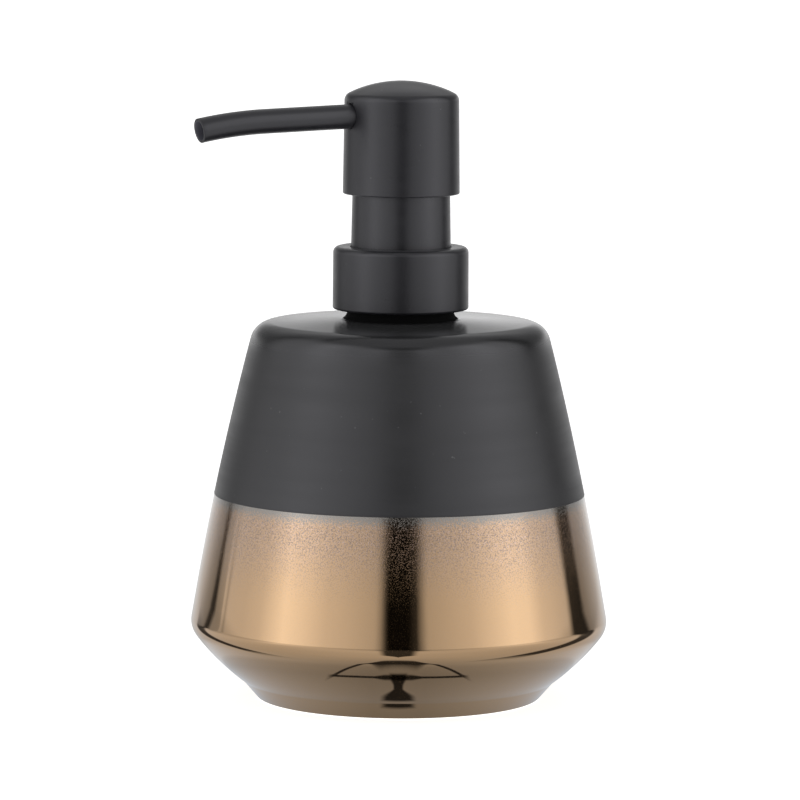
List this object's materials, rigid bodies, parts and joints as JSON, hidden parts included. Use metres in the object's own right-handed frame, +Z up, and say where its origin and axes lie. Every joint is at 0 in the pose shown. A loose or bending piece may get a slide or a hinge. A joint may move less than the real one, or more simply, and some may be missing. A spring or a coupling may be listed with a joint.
{
  "type": "soap pump dispenser",
  "caption": "Tapered ceramic bottle with a chamfered foot and a black screw-on lotion pump: domed push head, thin drooping spout, sliding sleeve and threaded collar.",
  "frame": {"origin": "centre of the flat face that the dispenser rests on, on the axis of the bottle and pump", "axes": "+Z up along the axis of the bottle and pump, -X the way the spout points at rest, +Y to complete a right-handed frame"},
  "size_m": [0.1039, 0.1008, 0.1496],
  "materials": {
    "bottle_glaze": "bronze metallic glaze on the lower half, matt black coating above",
    "satin_black": "satin black moulded plastic",
    "spout_black": "matt black coated steel tube",
    "inner_plastic": "natural moulded polypropylene",
    "piston_plastic": "soft natural polyethylene",
    "dip_tube_plastic": "milky extruded tube",
    "seal_rubber": "smooth elastomer",
    "foam_pad": "fine closed-cell foam",
    "steel": "bright stainless steel"
  },
  "bodies": {
    "bottle": {"bottle": "bottle_glaze", "base_pad": "foam_pad"},
    "pump": {"barrel": "inner_plastic", "neck_gasket": "seal_rubber", "stem_guide": "satin_black", "guide_sleeve": "satin_black", "ball_cage": "inner_plastic", "spring": "steel", "dip_tube": "dip_tube_plastic"},
    "collar": {"closure": "inner_plastic", "collar_shell": "satin_black"},
    "piston": {"piston": "piston_plastic"},
    "head": {"head_shell": "satin_black", "head_core": "satin_black", "spout": "spout_black", "spout_seal": "seal_rubber", "stem": "inner_plastic", "stem_plug": "inner_plastic"},
    "inlet_ball": {"inlet_ball": "steel"},
    "outlet_ball": {"outlet_ball": "steel"}
  },
  "joints": [
    {"name": "pump_lift", "type": "slide", "parent": "bottle", "child": "pump", "axis": [0, 0, 1], "range_m": [0, 0.0053]},
    {"name": "collar_unscrew", "type": "hinge", "parent": "pump", "child": "collar", "pos_m": [0, 0, 0.1], "axis": [0, 0, 1], "range_deg": [0, 450]},
    {"name": "head_press", "type": "slide", "parent": "pump", "child": "piston", "axis": [0, 0, -1], "range_m": [0, 0.012], "stiffness_N_per_m": 900, "springref_m": -0.005, "deforming": ["spring"]},
    {"name": "head_swivel", "type": "hinge", "parent": "piston", "child": "head", "pos_m": [0, 0, 0.12], "axis": [0, 0, 1], "continuous": true},
    {"name": "inlet_valve_lift", "type": "slide", "parent": "pump", "child": "inlet_ball", "axis": [0, 0, 1], "range_m": [0, 0.0014]},
    {"name": "outlet_valve_lift", "type": "slide", "parent": "head", "child": "outlet_ball", "axis": [0, 0, 1], "range_m": [0, 0.0012]}
  ],
  "couplings": [
    {"joint": "pump_lift", "follows": "collar_unscrew", "m_per_rad": 0.00067376}
  ]
}
